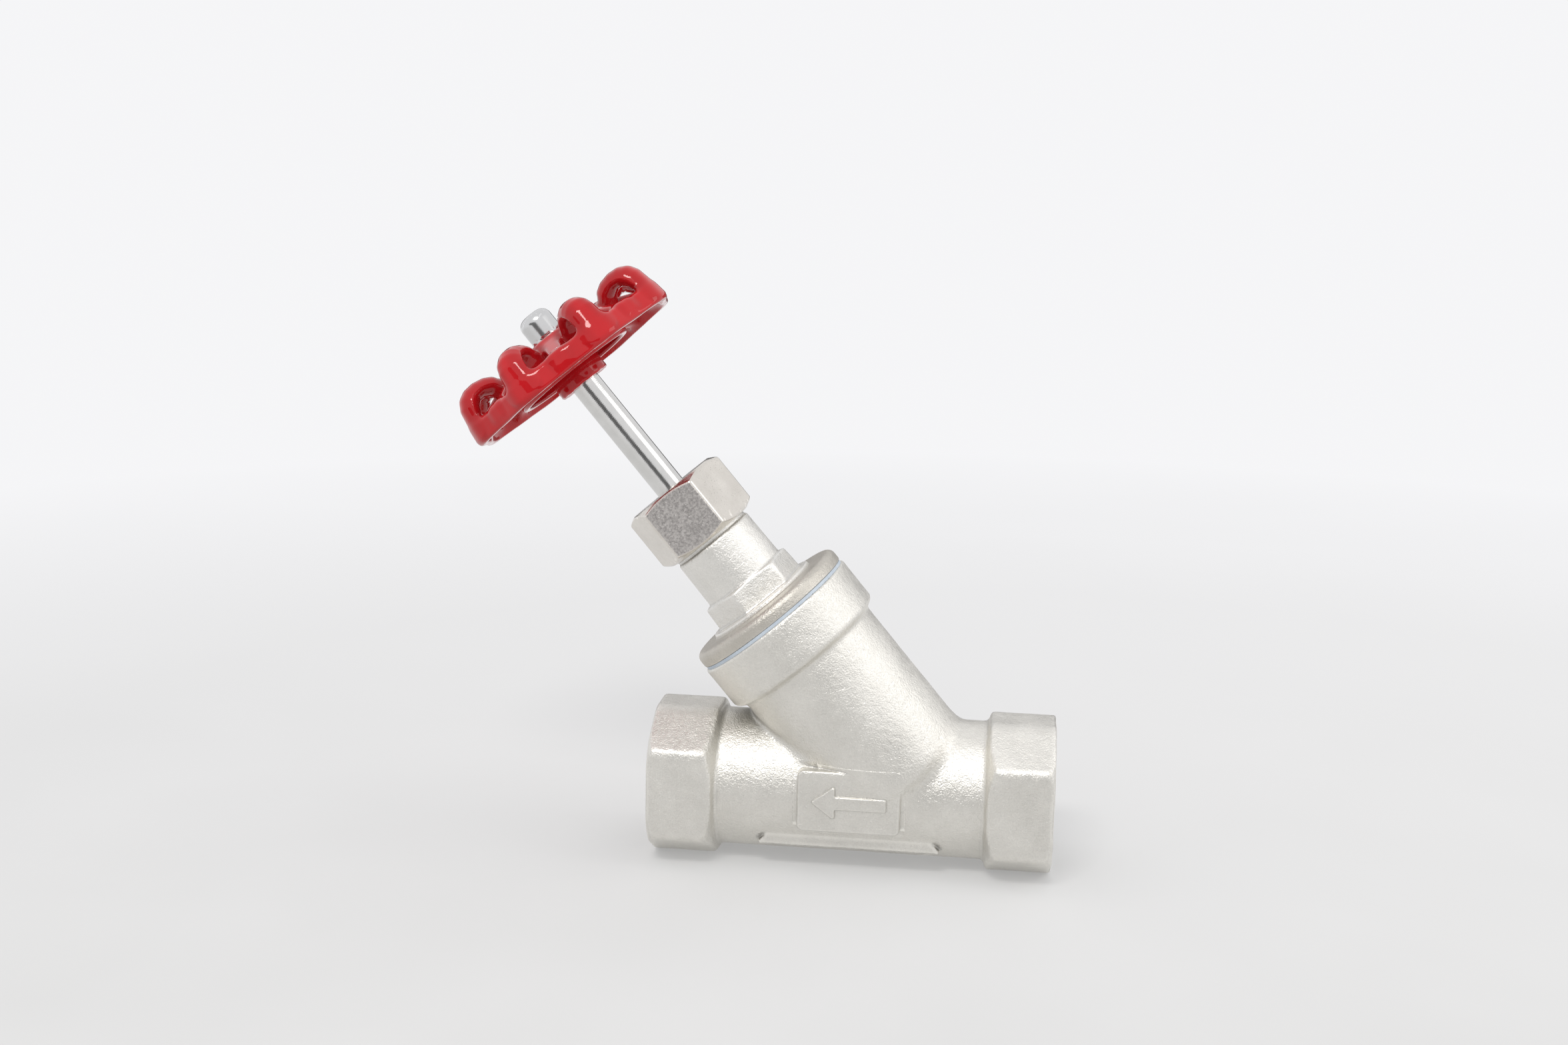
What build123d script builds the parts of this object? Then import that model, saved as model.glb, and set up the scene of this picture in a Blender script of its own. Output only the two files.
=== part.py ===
from build123d import *
import os
from math import sin, cos, radians, pi, sqrt

os.makedirs("parts", exist_ok=True)

# ---------------------------------------------------------------- dimensions
# Y-pattern globe valve, DN25, female pipe thread 1 inch at both ends.
# X runs along the pipe, the origin is the centre of the inlet mouth, the run
# goes towards -X, Z is up, and the stem leans over the outlet end.
run_length = 105.0          # face to face
stem_angle = 49.5           # stem axis above the -X direction, degrees
cross_x = -36.8             # where the stem axis crosses the pipe axis
hex_af = 41.0               # end hexagon across flats (flats face +-Y)
hex_len = 17.7
hex_cut = 19.8              # corners at top and bottom cut to flats at this Z
neck_r = 18.1               # body outside the pipe run
bore_r = 12.5               # flow bore
thread_r = 15.15            # minor radius of the 1 inch pipe thread
thread_len = 17.0
barrel_r = 20.4             # barrel outside
barrel_h0 = 2.4             # lowest point of the barrel on the stem axis
chamber_r = 16.5            # barrel inside
seat_h = 3.0                # chamber floor
wall_h = -0.6               # underside of the seat wall
seat_lip_h = 4.6            # top of the raised seat
orifice_r = 10.5
collar_r = 23.0
collar_h0 = 46.8
collar_h1 = 58.5
mouth_r = 19.0              # bore of the collar, bonnet thread
gasket_t = 0.8
gasket_r = 22.4
flange_r = 22.6
flange_h0 = collar_h1 + gasket_t          # 59.3
flange_h1 = 63.2
bonnet_af = 23.5
bonnet_hex_h = 70.5
bonnet_turn = 20.0          # wrench hexagon turned about the stem, degrees
bonnet_neck_r = 11.4
bonnet_neck_h = 84.9
bonnet_top_h = 97.5
stem_thread_r = 6.0
stem_r = 4.0
packing_r = 7.6
packing_h = 82.2            # packing chamber floor
gland_af = 26.0
gland_h0 = 85.2
gland_h1 = 101.6
gland_turn = 3.0
lift = 14.0                 # stem travel, shown fully open
wheel_h = 140.1             # lower plane of the handwheel rim
wheel_r = 32.1              # rim radius at the eight lobes
lobe_dip = 1.8              # the rim is drawn in by this between the lobes
lobes = 8
spoke_turn = -77.6          # first spoke about the stem axis, degrees

th = radians(stem_angle)
axis_dir = (-cos(th), 0, sin(th))
side_dir = (sin(th), 0, cos(th))
stem_plane = Plane(origin=(cross_x, 0, 0), x_dir=side_dir, z_dir=axis_dir)
to_stem = stem_plane.location


def write(shape, name):
    shape.label = name
    export_step(shape, "parts/" + name + ".step")
    print(name, round(shape.volume, 1), shape.is_valid)


def turned(points):
    """Solid of revolution about local Z from (radius, height) points."""
    with BuildPart() as p:
        with BuildSketch(Plane.XZ):
            with BuildLine():
                Polyline(*points, close=True)
            make_face()
        revolve(axis=Axis.Z)
    return p.part


def ring(r0, r1, h0, h1, c=0.0):
    if c:
        return turned([(r0, h0), (r1 - c, h0), (r1, h0 + c), (r1, h1 - c), (r1 - c, h1), (r0, h1)])
    return turned([(r0, h0), (r1, h0), (r1, h1), (r0, h1)])


def rod(r, h0, h1):
    return Pos(0, 0, h0) * Cylinder(r, h1 - h0, align=(Align.CENTER, Align.CENTER, Align.MIN))


def hexagon_bar(af, h0, h1, turn):
    """Hexagonal bar on local Z whose front flat (towards -Y) is turned by `turn`."""
    sk = Pos(0, 0, h0) * Rot(0, 0, turn) * RegularPolygon(af / 2, 6, major_radius=False, rotation=0)
    return extrude(sk, h1 - h0)


def xrod(r, x0, x1):
    return Pos(x0, 0, 0) * Rot(0, 90, 0) * Cylinder(r, x1 - x0, align=(Align.CENTER, Align.CENTER, Align.MIN))


# check which way RegularPolygon's flats face: they must face +-Y before `turn`
_probe = hexagon_bar(20, 0, 1, 0).bounding_box()
hex_fix = 0.0 if abs(_probe.size.Y - 20) < 0.01 else 30.0


def hexbar(af, h0, h1, turn):
    return hexagon_bar(af, h0, h1, turn + hex_fix)


# ---------------------------------------------------------------- valve body
def end_hex(x_out, sign):
    """End hexagon: flats at +-Y, turned chamfers, corners cut flat at top and bottom.
    x_out is the end face, sign points from the face into the valve."""
    bar = Rot(0, 90, 0) * hexbar(hex_af, 0, hex_len, 0)
    # after the turn the bar runs along +X; flats stay at +-Y
    prof = turned([(0, 0), (20.9, 0), (24.2, 1.5), (24.2, 14.9), (20.5, 16.9), (neck_r + 0.1, hex_len), (0, hex_len)])
    prof = Rot(0, 90, 0) * prof
    solid = bar & prof
    solid = solid & Pos(hex_len / 2, 0, 0) * Box(hex_len + 2, 60, 2 * hex_cut)
    if sign < 0:
        solid = mirror(solid, about=Plane.YZ)
    return Pos(x_out, 0, 0) * solid


hex_in = end_hex(0.0, -1)
hex_out = end_hex(-run_length, 1)
neck = xrod(neck_r, -run_length + 8, -8)
barrel = turned([(0, barrel_h0), (barrel_r - 4.5, barrel_h0), (barrel_r - 2.4, barrel_h0 + 0.55),
                 (barrel_r - 0.7, barrel_h0 + 2.1), (barrel_r, barrel_h0 + 4.5), (barrel_r, 44.3),
                 (barrel_r + 0.4, 45.1), (collar_r - 0.7, 46.3), (collar_r, 47.3), (collar_r, collar_h1 - 0.5),
                 (collar_r - 0.5, collar_h1), (0, collar_h1)])
body = neck + hex_in + hex_out + to_stem * barrel

# marking pad on the front, with a raised flow arrow that points to the outlet
pad_x0, pad_x1, pad_z0, pad_z1, pad_y = -65.6, -39.0, -7.6, 8.6, -19.4
pad = Pos((pad_x0 + pad_x1) / 2, (pad_y - 4) / 2, (pad_z0 + pad_z1) / 2) * Box(pad_x1 - pad_x0, -pad_y - 4, pad_z1 - pad_z0)
pad = Pos(0, -2, 0) * pad
pad = fillet(pad.edges().filter_by(Axis.Y).group_by(Axis.X)[0] + pad.edges().filter_by(Axis.Y).group_by(Axis.X)[-1], 1.6)
pad = fillet(pad.faces().sort_by(Axis.Y)[0].edges(), 0.7)
body = body + pad

# low rail under the run with sloping ends
rail_pts = [(-76.6, -13.4), (-28.2, -13.4), (-30.6, -9.9), (-74.2, -9.9)]
rail = extrude(Plane.XZ * make_face(Polyline(*rail_pts, close=True)), 14.6, both=True)
body = body + rail

# flow passages
inlet = xrod(bore_r, cross_x - 26, 1)
inlet = inlet & (to_stem * Pos(0, 0, wall_h - 60) * Box(160, 80, 120))
outlet = xrod(bore_r, -run_length - 1, cross_x)
outlet = outlet & (to_stem * Pos(0, 0, seat_h + 60) * Box(200, 80, 120))
chamber = to_stem * turned([(0, seat_h), (chamber_r, seat_h), (chamber_r, collar_h0 - 1.6), (mouth_r, collar_h0 - 0.6),
                            (mouth_r, collar_h1 + 1), (0, collar_h1 + 1)])
body = body - inlet - outlet - chamber
seat = to_stem * turned([(orifice_r - 1, seat_h - 1), (orifice_r + 2.4, seat_h - 1), (orifice_r + 2.4, seat_lip_h - 0.7),
                         (orifice_r + 1.9, seat_lip_h), (orifice_r - 1, seat_lip_h)])
body = body + seat - to_stem * rod(orifice_r, wall_h - 14, seat_lip_h + 2)

# threaded ports: minor bore with a lead-in chamfer
for x, s in ((0.0, -1), (-run_length, 1)):
    port = turned([(0, -1), (16.1, -1), (16.1, 0), (thread_r, 0.8), (thread_r, thread_len), (bore_r, thread_len + 1.4), (0, thread_len + 1.4)])
    port = Rot(0, 90, 0) * port
    if s < 0:
        port = mirror(port, about=Plane.YZ)
    body = body - Pos(x, 0, 0) * port

# raised arrow, 0.6 mm proud of the pad
ax0, ax1, az = -62.0, -42.6, 0.5
arrow_pts = [(ax0, az), (ax0 + 6.2, az + 4.6), (ax0 + 6.2, az + 1.7), (ax1, az + 1.7), (ax1, az - 1.7),
             (ax0 + 6.2, az - 1.7), (ax0 + 6.2, az - 4.6)]
arrow = extrude(Plane.XZ * make_face(Polyline(*arrow_pts, close=True)), 1.6)
_ab = arrow.bounding_box()
arrow = Pos(0, (pad_y - 0.6) - _ab.min.Y, 0) * arrow
body = body + arrow
body = body.solids().sort_by(SortBy.VOLUME)[-1]
write(body, "valve_body")

# ---------------------------------------------------------------- bonnet
bonnet = turned([
    (0, 46.6), (18.0, 46.6), (18.9, 47.5), (18.9, flange_h0),
    (flange_r - 0.3, flange_h0), (flange_r, flange_h0 + 0.3), (flange_r, flange_h1 - 2.0),
    (flange_r - 0.28, flange_h1 - 1.1), (flange_r - 0.9, flange_h1 - 0.4), (flange_r - 2.0, flange_h1),
    (15.6, flange_h1 + 0.05), (15.5, flange_h1 + 0.9), (14.4, flange_h1 + 1.1), (0, flange_h1 + 1.1)])
bhex = hexbar(bonnet_af, flange_h1, bonnet_hex_h, bonnet_turn) & turned([
    (0, flange_h1), (13.35, flange_h1), (13.35, bonnet_hex_h - 0.7), (12.2, bonnet_hex_h + 0.001), (0, bonnet_hex_h + 0.001)])
bneck = turned([(0, flange_h1), (bonnet_neck_r + 0.15, flange_h1), (bonnet_neck_r + 0.1, bonnet_hex_h + 1), (bonnet_neck_r - 0.1, bonnet_neck_h),
                (10.8, bonnet_neck_h), (10.8, bonnet_top_h - 0.8), (10.0, bonnet_top_h), (0, bonnet_top_h)])
bonnet = bonnet + bhex + bneck
bonnet = bonnet - turned([(0, 46), (stem_thread_r + 1.2, 46), (stem_thread_r + 1.2, 46.6), (stem_thread_r + 0.05, 47.8),
                          (stem_thread_r + 0.05, 80.2), (stem_r + 0.05, 80.4), (stem_r + 0.05, packing_h),
                          (packing_r, packing_h), (packing_r, bonnet_top_h + 1), (0, bonnet_top_h + 1)])
write(to_stem * bonnet, "bonnet")

write(to_stem * ring(mouth_r + 0.1, gasket_r, collar_h1, flange_h0), "bonnet_gasket")

# ---------------------------------------------------------------- packing set
r0, rm, r1 = stem_r + 0.03, (stem_r + packing_r) / 2, packing_r - 0.03
write(to_stem * ring(stem_r + 0.08, r1, packing_h, 83.4, 0.2), "packing_washer")
write(to_stem * turned([(r0, 83.4), (r1, 83.4), (r1, 84.9), (rm, 86.1), (r0, 84.9)]), "packing_bottom_adapter")
for i in range(3):
    b = 84.9 + 1.6 * i
    write(to_stem * turned([(r0, b), (rm, b + 1.2), (r1, b), (r1, b + 1.6), (rm, b + 2.8), (r0, b + 1.6)]),
          "packing_v_ring_%d" % (i + 1))
write(to_stem * turned([(r0, 89.7), (rm, 90.9), (r1, 89.7), (r1, 92.4), (r0, 92.4)]), "packing_top_adapter")
write(to_stem * turned([(stem_r + 0.08, 92.4), (r1, 92.4), (r1, 97.7), (9.5, 97.7), (9.5, 98.6), (stem_r + 0.08, 98.6)]),
      "gland_follower")
write(to_stem * ring(stem_r + 0.2, 9.6, 98.6, 99.4, 0.15), "gland_washer")

gland = hexbar(gland_af, gland_h0, gland_h1, gland_turn) & turned([
    (0, gland_h0), (12.3, gland_h0), (15.3, gland_h0 + 1.75), (15.3, gland_h1 - 1.6), (12.3, gland_h1), (0, gland_h1)])
gland = gland - turned([(0, gland_h0 - 1), (11.6, gland_h0 - 1), (11.6, gland_h0), (10.85, gland_h0 + 0.7), (10.85, 99.4),
                        (stem_r + 0.15, 99.4), (stem_r + 0.15, gland_h1 - 0.5), (stem_r + 0.6, gland_h1 + 1), (0, gland_h1 + 1)])
write(to_stem * gland, "gland_nut")

# ---------------------------------------------------------------- stem
stem = turned([
    (0, 34.9), (7.2, 34.9), (7.6, 35.3), (7.6, 37.5), (7.2, 37.9), (stem_thread_r, 37.9),
    (stem_thread_r, 79.0), (stem_thread_r - 0.6, 79.6), (stem_r, 79.6), (stem_r, 146.6), (3.0, 146.8), (3.0, 155.2), (2.5, 155.8), (0, 155.8)])
square = Pos(0, 0, wheel_h - 3.4) * Box(30, 30, 30, align=(Align.CENTER, Align.CENTER, Align.MIN)) - \
    Pos(0, 0, wheel_h - 3.4) * Box(6.0, 6.0, 30, align=(Align.CENTER, Align.CENTER, Align.MIN))
stem = stem - square
write(to_stem * stem, "stem")

# ---------------------------------------------------------------- disc assembly (shown 14 mm off the seat)
d0 = seat_lip_h + lift      # seal face when open = 18.6
write(to_stem * turned([(2.55, d0), (13.9, d0), (14.1, d0 + 0.2), (14.1, d0 + 3.6), (2.55, d0 + 3.6)]), "seal_disc")
holder = turned([(0, d0 + 3.6), (14.1, d0 + 3.6), (14.1, d0 + 1.4), (15.1, d0 + 1.4), (15.3, d0 + 1.6), (15.3, d0 + 6.2), (12.6, d0 + 9.4),
                 (12.6, 43.4), (12.0, 44.0), (0, 44.0)])
holder = holder - turned([(0, 33.1), (8.0, 33.1), (8.0, 38.1), (9.0, 38.1), (9.0, 45), (0, 45)])
holder = holder - rod(2.5, d0 + 3, 33.2)
write(to_stem * holder, "disc_holder")
write(to_stem * ring(0.01, 7.5, 33.1, 34.9, 0.2), "disc_thrust_washer")
collar = turned([(6.15, 38.1), (8.98, 38.1), (8.98, 44.0), (11.6, 44.0), (12.0, 44.4), (12.0, 46.1), (11.5, 46.4), (6.15, 46.4)])
for k in range(2):
    collar = collar - Pos(0, 0, 45.6) * Rot(0, 0, 90 * k) * Box(30, 2.4, 3, align=(Align.CENTER, Align.CENTER, Align.MIN))
write(to_stem * collar, "disc_collar")
write(to_stem * ring(2.6, 8.4, d0 - 1.6, d0, 0.3), "disc_washer")
screw = turned([(0, d0 - 5.0), (2.6, d0 - 5.0), (4.2, d0 - 4.2), (4.2, d0 - 1.6), (2.48, d0 - 1.6), (2.48, 32.4), (0, 32.4)])
screw = screw - extrude(Pos(0, 0, d0 - 5.01) * RegularPolygon(1.5, 6, major_radius=False), 1.8)
write(to_stem * screw, "disc_screw")

# ---------------------------------------------------------------- handwheel
W = wheel_h


def lobed(radius, z):
    """Closed lobed outline, largest between two spokes."""
    pts = []
    for k in range(96):
        a = 2 * pi * k / 96
        r = radius - lobe_dip * 0.5 * (1 + cos(lobes * (a - radians(spoke_turn))))
        pts.append((r * cos(a), r * sin(a), z))
    return Wire([Edge.make_spline([Vector(*q) for q in pts], periodic=True)])


rim_out = Solid.make_loft([lobed(wheel_r, W), lobed(wheel_r - 0.9, W + 5.5)], ruled=True)
rim_in = Solid.make_loft([lobed(wheel_r - 2.0, W - 0.1), lobed(wheel_r - 3.8, W + 5.6)], ruled=True)
rim = Part(rim_out.wrapped) - Part(rim_in.wrapped)
cup = turned([(7.0, W + 7.6), (14.9, W + 6.9), (15.4, W + 6.0), (15.4, W + 0.4), (16.7, W + 0.3), (17.1, W + 0.9), (17.1, W + 8.2),
              (16.4, W + 10.2), (15.2, W + 10.7), (8.4, W + 10.7), (8.4, W + 10.2), (7.0, W + 9.4)])
hub = turned([(0, W - 3.4), (6.9, W - 3.4), (7.2, W - 3.1), (7.3, W + 3.0), (8.2, W + 7.8), (8.3, W + 9.8), (7.9, W + 9.8), (7.6, W + 6.9), (0, W + 6.9)])
wheel = rim + cup + hub
spoke_pts = [(15.8, W + 4.6), (28.9, W + 1.6), (29.4, W + 2.0), (29.2, W + 5.2), (27.2, W + 5.6), (16.4, W + 10.2), (15.8, W + 10.2)]
spoke_face = Plane.XZ * make_face(Polyline(*spoke_pts, close=True))
spoke = extrude(spoke_face, 2.5, both=True)
arch_out = [(wheel_r - 0.2, W + 1.6), (wheel_r - 0.7, W + 6.8), (wheel_r - 1.3, W + 9.8), (29.6, W + 12.0), (27.1, W + 13.5), (24.3, W + 14.0),
            (21.3, W + 13.4), (19.0, W + 12.0), (17.7, W + 9.9), (17.2, W + 7.6), (16.6, W + 6.4), (16.2, W + 3.2), (17.6, W + 3.2),
            (19.6, W + 5.0), (20.2, W + 7.0), (21.5, W + 9.2), (23.4, W + 10.2), (25.5, W + 9.9), (26.9, W + 8.4),
            (27.8, W + 6.0), (28.9, W + 1.6)]
arch_face = Plane.XZ * make_face(Polyline(*arch_out, close=True))
arch = extrude(arch_face, 4.3, both=True)
arch = fillet(arch.edges().filter_by(Axis.Y, reverse=True).filter_by(lambda e: e.center().Z > W + 12.5 and e.center().X > 20), 1.2)
for i in range(lobes):
    wheel = wheel + Rot(0, 0, spoke_turn + 45 * i) * spoke + Rot(0, 0, spoke_turn + 22.5 + 45 * i) * arch
wheel = wheel - Pos(0, 0, W - 5) * Box(6.04, 6.04, 20, align=(Align.CENTER, Align.CENTER, Align.MIN))
wheel = wheel.solids().sort_by(SortBy.VOLUME)[-1]
write(to_stem * wheel, "handwheel")

write(to_stem * ring(4.3, 6.4, W + 6.9, W + 7.8, 0.15), "wheel_washer")
nut = hexbar(8.6, W + 7.8, W + 12.4, 12) & turned([(0, W + 7.8), (4.97, W + 7.8), (4.97, W + 12.0), (4.6, W + 12.4), (0, W + 12.4)])
dome = turned([(0, W + 12.3), (4.5, W + 12.3), (4.55, W + 12.6), (4.5, W + 15.0), (4.25, W + 16.3), (3.75, W + 17.3),
               (2.95, W + 18.2), (2.0, W + 18.8), (1.0, W + 19.1), (0, W + 19.2)])
nut = nut + dome
nut = nut - turned([(0, W + 7), (3.4, W + 7), (3.4, W + 7.8), (3.05, W + 8.3), (3.05, W + 15.9), (0, W + 17.4)])
write(to_stem * nut, "dome_nut")
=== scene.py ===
import math
import numpy as np
import bpy
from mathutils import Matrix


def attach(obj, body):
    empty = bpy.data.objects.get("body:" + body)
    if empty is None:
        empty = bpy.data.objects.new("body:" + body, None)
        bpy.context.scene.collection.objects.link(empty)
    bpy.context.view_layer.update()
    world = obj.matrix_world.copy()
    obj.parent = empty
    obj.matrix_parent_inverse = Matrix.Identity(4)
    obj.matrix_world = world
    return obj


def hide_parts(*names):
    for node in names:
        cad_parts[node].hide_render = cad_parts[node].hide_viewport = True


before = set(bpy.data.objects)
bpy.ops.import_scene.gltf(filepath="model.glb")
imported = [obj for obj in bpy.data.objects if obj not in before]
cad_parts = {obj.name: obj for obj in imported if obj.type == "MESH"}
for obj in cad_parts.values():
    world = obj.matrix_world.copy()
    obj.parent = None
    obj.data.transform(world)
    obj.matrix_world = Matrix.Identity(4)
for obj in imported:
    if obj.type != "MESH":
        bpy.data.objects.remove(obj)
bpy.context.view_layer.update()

import openvdb as vdb
from mathutils import Matrix, Vector

COARSE = 1.0
MM = 0.001
f32 = np.float32

# ------------------------------------------------------------------ frame of the part, in millimetres
TH = math.radians(49.5)
S, C = math.sin(TH), math.cos(TH)
CX = -36.8
AXIS = np.array([-C, 0.0, S])
SIDE = np.array([S, 0.0, C])
RUN = 105.0
W = 140.1

# ------------------------------------------------------------------ distance-field modelling


def smin(a, b, k):
    h = np.maximum(k - np.abs(a - b), 0) / k
    return np.minimum(a, b) - h * h * (k * 0.25)


def smax(a, b, k):
    h = np.maximum(k - np.abs(a - b), 0) / k
    return np.maximum(a, b) + h * h * (k * 0.25)


def rounded(points, steps=7):
    """Polygon with each corner (a, b, radius) replaced by an arc."""
    out = []
    n = len(points)
    for i in range(n):
        p = np.array(points[i][:2], float)
        rad = points[i][2] if len(points[i]) > 2 else 0
        a = np.array(points[i - 1][:2], float) - p
        b = np.array(points[(i + 1) % n][:2], float) - p
        la, lb = np.linalg.norm(a), np.linalg.norm(b)
        if rad <= 0 or la < 1e-9 or lb < 1e-9:
            out.append(tuple(p))
            continue
        a, b = a / la, b / lb
        ang = math.acos(max(-1, min(1, float(a @ b))))
        if ang > math.pi - 0.03:
            out.append(tuple(p))
            continue
        cut = min(rad / math.tan(ang / 2), la * 0.49, lb * 0.49)
        rad = cut * math.tan(ang / 2)
        mid = (a + b) / np.linalg.norm(a + b)
        c = p + mid * rad / math.sin(ang / 2)
        s, e = p + a * cut - c, p + b * cut - c
        t0 = math.atan2(s[1], s[0])
        dt = (math.atan2(e[1], e[0]) - t0 + math.pi) % (2 * math.pi) - math.pi
        for k in range(steps + 1):
            t = t0 + dt * k / steps
            out.append((c[0] + rad * math.cos(t), c[1] + rad * math.sin(t)))
    return out


def poly_distance(px, py, pts):
    d = np.full(np.broadcast(px, py).shape, 1e12, float)
    inside = np.zeros(d.shape, bool)
    n = len(pts)
    for i in range(n):
        ax, ay = pts[i]
        bx, by = pts[(i + 1) % n]
        ex, ey = bx - ax, by - ay
        le = ex * ex + ey * ey
        if le < 1e-14:
            continue
        wx, wy = px - ax, py - ay
        t = np.clip((wx * ex + wy * ey) / le, 0, 1)
        d = np.minimum(d, (wx - ex * t) ** 2 + (wy - ey * t) ** 2)
        crosses = (ay > py) != (by > py)
        with np.errstate(divide="ignore", invalid="ignore"):
            xc = ax + (py - ay) * ex / (ey if abs(ey) > 1e-12 else 1e-12)
        inside ^= crosses & (px < xc)
    d = np.sqrt(d)
    return np.where(inside, -d, d)


class Profile:
    """Exact signed distance of a closed outline, read from a fine table."""

    def __init__(self, points, step=0.08, pad=3.0, corners=7):
        pts = rounded(points, corners)
        xs, ys = [p[0] for p in pts], [p[1] for p in pts]
        self.a0 = -4.0 if abs(min(xs) + 30) < 1e-6 else min(xs) - pad      # outlines that cross the axis start at -30
        self.b0 = min(ys) - pad
        self.step = step
        na = int((max(xs) + pad - self.a0) / step) + 2
        nb = int((max(ys) + pad - self.b0) / step) + 2
        ga = self.a0 + step * np.arange(na)
        gb = self.b0 + step * np.arange(nb)
        self.t = poly_distance(ga[:, None], gb[None, :], pts).astype(f32)
        self.na, self.nb = na, nb

    def __call__(self, a, b):
        fa, fb = (a - self.a0) / self.step, (b - self.b0) / self.step
        fa, fb = np.broadcast_arrays(fa, fb)
        ca, cb = np.clip(fa, 0, self.na - 1.001), np.clip(fb, 0, self.nb - 1.001)
        over = np.hypot(fa - ca, fb - cb) * self.step
        ia, ib = ca.astype(np.int32), cb.astype(np.int32)
        ta, tb = (ca - ia).astype(f32), (cb - ib).astype(f32)
        flat = self.t.ravel()
        k = ia * self.nb + ib
        v = (flat[k] * (1 - ta) + flat[k + self.nb] * ta) * (1 - tb) + (flat[k + 1] * (1 - ta) + flat[k + self.nb + 1] * ta) * tb
        return (v + over).astype(f32)


class Field:
    """A box of sample points, in millimetres."""

    def __init__(self, lo, hi, h):
        h = h * COARSE
        self.h, self.lo = h, np.array(lo, float)
        n = [int(math.ceil((b - a) / h)) + 1 for a, b in zip(lo, hi)]
        ax = [(lo[i] + h * np.arange(n[i])).astype(f32) for i in range(3)]
        self.x, self.y, self.z = ax[0][:, None, None], ax[1][None, :, None], ax[2][None, None, :]
        self.n = tuple(n)

    def sample(self, d, p):
        n = np.array(d.shape)
        p = np.clip(p, 0, n - 1.001)
        i = p.astype(np.int64)
        f = p - i
        v = 0
        for dx in (0, 1):
            wx = f[:, 0] if dx else 1 - f[:, 0]
            for dy in (0, 1):
                wy = f[:, 1] if dy else 1 - f[:, 1]
                for dz in (0, 1):
                    wz = f[:, 2] if dz else 1 - f[:, 2]
                    v = v + d[i[:, 0] + dx, i[:, 1] + dy, i[:, 2] + dz] * (wx * wy * wz)
        return v

    def gradient(self, d, p, e=0.5):
        g = np.empty_like(p)
        for k in range(3):
            s = np.zeros(3)
            s[k] = e
            g[:, k] = (self.sample(d, p + s) - self.sample(d, p - s)) / (2 * e * self.h)
        return g

    def mesh(self, d, name, stem_frame=False, adaptivity=0.0):
        band = 3 * self.h
        d = np.ascontiguousarray(np.clip(np.broadcast_to(d, self.n), -band, band), dtype=f32)
        for k in range(3):
            for e in (0, -1):
                ix = [slice(None)] * 3
                ix[k] = e
                d[tuple(ix)] = np.maximum(d[tuple(ix)], 0.4 * self.h)
        g = vdb.FloatGrid(float(band))
        g.copyFromArray(d)
        pts, tris, quads = g.convertToPolygons(isovalue=0.0, adaptivity=adaptivity)
        p = pts.astype(float)
        for _ in range(2):
            grad = self.gradient(d, p)
            ln = np.maximum((grad ** 2).sum(1), 0.15)
            step = (self.sample(d, p) / ln)[:, None] * grad / self.h
            p -= np.clip(step, -0.5, 0.5)
        nrm = self.gradient(d, p, 0.6)
        nrm /= np.maximum(np.linalg.norm(nrm, axis=1), 1e-9)[:, None]
        # hollow and ridge: crease and edge masks kept on the mesh; the materials use them for painted shade in creases
        # and painted highlights on edges
        e = 2.2
        hollow = np.clip(1 - self.sample(d, p + nrm * e) / (e * self.h), 0, 1)
        ridge = np.clip(1 + self.sample(d, p - nrm * e) / (e * self.h), 0, 1)
        co = self.lo + self.h * p
        faces = [q for q in (quads.reshape(-1, 4), tris.reshape(-1, 3)) if len(q)]
        # outward winding
        q = faces[0]
        a, b, c = co[q[:, 0]], co[q[:, 1]], co[q[:, 2]]
        fn = np.cross(b - a, c - a)
        flip = (fn * nrm[q[:, 0]]).sum() < 0
        if stem_frame:
            co = np.array([CX, 0, 0]) + co[:, :1] * SIDE + co[:, 1:2] * np.array([0, 1, 0]) + co[:, 2:3] * AXIS
            nrm = nrm[:, :1] * SIDE + nrm[:, 1:2] * np.array([0, 1, 0]) + nrm[:, 2:3] * AXIS
        ob = mesh_object(name, co, [f[:, ::-1] if flip else f for f in faces], nrm)
        if len(ob.data.vertices) == len(co):
            for key, val in (("hollow", hollow), ("ridge", ridge)):
                ob.data.attributes.new(key, "FLOAT", "POINT").data.foreach_set("value", val.astype(f32))
        return ob


def mesh_object(name, co, faces, normals=None, smooth=True):
    """Mesh from millimetre points; faces is a list of index arrays."""
    me = bpy.data.meshes.new(name)
    me.vertices.add(len(co))
    me.vertices.foreach_set("co", (co * MM).astype(f32).ravel())
    loops = np.concatenate([f.ravel() for f in faces]).astype(np.int32)
    sizes = np.concatenate([np.full(len(f), f.shape[1]) for f in faces]).astype(np.int32)
    starts = np.concatenate([[0], np.cumsum(sizes)[:-1]]).astype(np.int32)
    me.loops.add(len(loops))
    me.loops.foreach_set("vertex_index", loops)
    me.polygons.add(len(sizes))
    me.polygons.foreach_set("loop_start", starts)
    me.update(calc_edges=True)
    me.validate()
    if smooth:
        me.polygons.foreach_set("use_smooth", np.ones(len(me.polygons), bool))
    if normals is not None and len(me.vertices) == len(normals):
        me.normals_split_custom_set_from_vertices([tuple(v) for v in normals.astype(f32)])
    ob = bpy.data.objects.new(name, me)
    bpy.context.scene.collection.objects.link(ob)
    print("piece", name, len(me.vertices), len(me.polygons))
    return ob


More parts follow.
